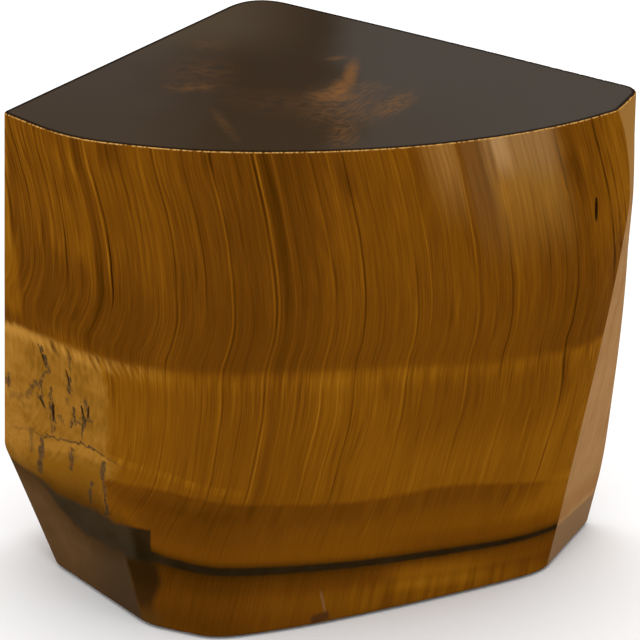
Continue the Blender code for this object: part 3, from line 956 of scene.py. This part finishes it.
    plume = n.top(n.mul(blob(3.05, 1.9, 0.62, 3.3, 0.8, 0.7, -0.1), 0.72),
                  n.mul(blob(2.1, -1.6, 1.0, 2.6, 0.7, 0.8, -0.25), 0.6),
                  n.mul(blob(1.2, -3.6, 1.8, 1.2, 0.8, 0.8), 0.5),
                  n.mul(blob(1.7, 6.3, 1.0, 0.45, 0.8, 0.5, 0.35), 0.3))
    x, y = n.after(plume, x, y)
    fan = n.top(n.mul(blob(2.6, -6.4, 3.8, 4.4, 0.8, 1.0), 0.30),
                n.mul(blob(7.3, -6.0, 1.3, 3.4, 0.7, 0.7, -0.52), 0.48),
                n.mul(blob(2.3, -12.6, 1.3, 4.2, 0.8, 1.0), 0.34),
                n.mul(blob(4.9, -1.6, 1.8, 1.6, 0.8, 0.8), 0.25))
    x, y = n.after(fan, x, y)
    faint = n.top(n.mul(blob(-12.6, -1.4, 2.6, 1.2, 0.9, 1.0), 0.30),
                  n.mul(blob(-12.0, 2.8, 3.2, 3.0, 0.9, 1.2), 0.14),
                  n.mul(blob(-11.2, 10.0, 1.8, 1.4, 0.9, 1.2), 0.12),
                  n.mul(blob(-9.4, -11.0, 0.5, 3.4, 0.9, 0.7, 0.3), 0.2),
                  n.mul(blob(-3.4, -5.6, 5.4, 2.6, 0.9, 1.2, -0.3), 0.10))
    gold = n.add(n.mul(plume, n.mad(barbs, 0.9, 0.3)),
                 n.mul(fan, n.smooth(barbs, 0.34, 0.66)),
                 n.mul(faint, n.smooth(wisps, 0.34, 0.66)))
    top_colour = n.mix(top_colour, srgb(126, 83, 41), gold)
    flat = n.smooth(up, 0.86, 0.95)
    colour = n.mix(colour, top_colour, flat)

    # the worn rim: a pale golden thread, and a darker one on the top beside it
    rim = n.mul(n.smooth(z, HEIGHT - 0.16, HEIGHT - 0.07), n.sub(1.0, flat),
                front_side)
    colour = n.mix(colour, srgb(206, 156, 84), n.mul(rim, n.smooth(spark, 0.3, 0.62)))
    shade = n.mul(n.smooth(z, HEIGHT - 0.05, HEIGHT - 0.01),
                  n.window(inset, 0.01, 0.08, 0.32, 0.60), 0.85)
    colour = n.mix(colour, srgb(26, 16, 8), shade)
    # painted shade inside the open pits, following their depth
    colour = n.mix(colour, srgb(22, 12, 6), n.mul(n.smooth(hollow, 0.0, 0.08), 0.92))

    n.put(shader.inputs["Base Color"], colour)
    rough = n.add(n.mad(gloss, 0.10, 0.10), n.mul(seam_core, 0.12))
    n.put(shader.inputs["Roughness"], rough)
    shader.inputs["Specular IOR Level"].default_value = 0.0004
    shader.inputs["Specular Tint"].default_value = (1.0, 0.72, 0.42, 1.0)
    relief = n.new("ShaderNodeBump", {"Strength": 0.06, "Distance": 0.00004,
                                      "Height": weave})
    n.put(shader.inputs["Normal"], relief.outputs[0])
    return mat


mesh.materials.append(tigers_eye())

# ------------------------------------------------------------------- studio
scene = bpy.context.scene
scene.view_settings.view_transform = "Standard"
scene.view_settings.look = "None"

floor_mesh = bpy.data.meshes.new("floor")
s = 1.6
floor_mesh.from_pydata([(-s, -s, 0), (s, -s, 0), (s, s, 0), (-s, s, 0)], [],
                       [(0, 1, 2, 3)])
floor = bpy.data.objects.new("floor", floor_mesh)
floor.location = (0, 0, -0.0002)
scene.collection.objects.link(floor)
floor_mat = bpy.data.materials.new("floor")
floor_mat.use_nodes = True
fb_ = floor_mat.node_tree.nodes["Principled BSDF"]
fb_.inputs["Base Color"].default_value = (0.94, 0.94, 0.94, 1)
fb_.inputs["Roughness"].default_value = 0.9
fb_.inputs["Specular IOR Level"].default_value = 0.1
floor_mesh.materials.append(floor_mat)

world = bpy.data.worlds.new("studio")
scene.world = world
world.use_nodes = True
wn = world.node_tree.nodes
wl = world.node_tree.links
bg = wn["Background"]
bg.inputs["Strength"].default_value = 0.74
bg.inputs["Color"].default_value = (1, 1, 1, 1)


def softbox(name, place, aim, size, power, colour=(1, 1, 1)):
    light = bpy.data.lights.new(name, "AREA")
    light.shape = "RECTANGLE"
    light.size, light.size_y = size
    light.energy = power
    light.color = colour
    o = bpy.data.objects.new(name, light)
    o.location = place
    scene.collection.objects.link(o)
    import mathutils
    d = mathutils.Vector(aim) - mathutils.Vector(place)
    o.rotation_euler = d.to_track_quat("-Z", "Y").to_euler()
    return o


softbox("overhead", (0.0, 0.15, 0.9), (0, 0.1, 0.0), (0.9, 0.9), 5.6)
softbox("key", (-0.35, -0.6, 0.45), (0, 0, 0.02), (0.5, 0.5), 0.45)

# ------------------------------------------------------------------- camera
ELEVATION, DISTANCE, WIDTH_PX, WIDTH_MM = 25.0, 520.0, 634.0, 65.0
e = math.radians(ELEVATION)
forward = np.array((0.0, math.cos(e), -math.sin(e)))
target = np.array((0.0, 0.0, HEIGHT / 2)) - ORIGIN
place = (target - forward * DISTANCE) * MM
cam_data = bpy.data.cameras.new("camera")
cam_data.sensor_width = 36.0
cam_data.lens = WIDTH_PX / WIDTH_MM * DISTANCE / 640.0 * 36.0
cam_data.clip_start = 0.01
cam_data.clip_end = 20.0
camera = bpy.data.objects.new("camera", cam_data)
camera.location = place.tolist()
camera.rotation_euler = (math.radians(90.0 - ELEVATION), 0.0, 0.0)
scene.collection.objects.link(camera)
scene.camera = camera

bpy.context.view_layer.update()
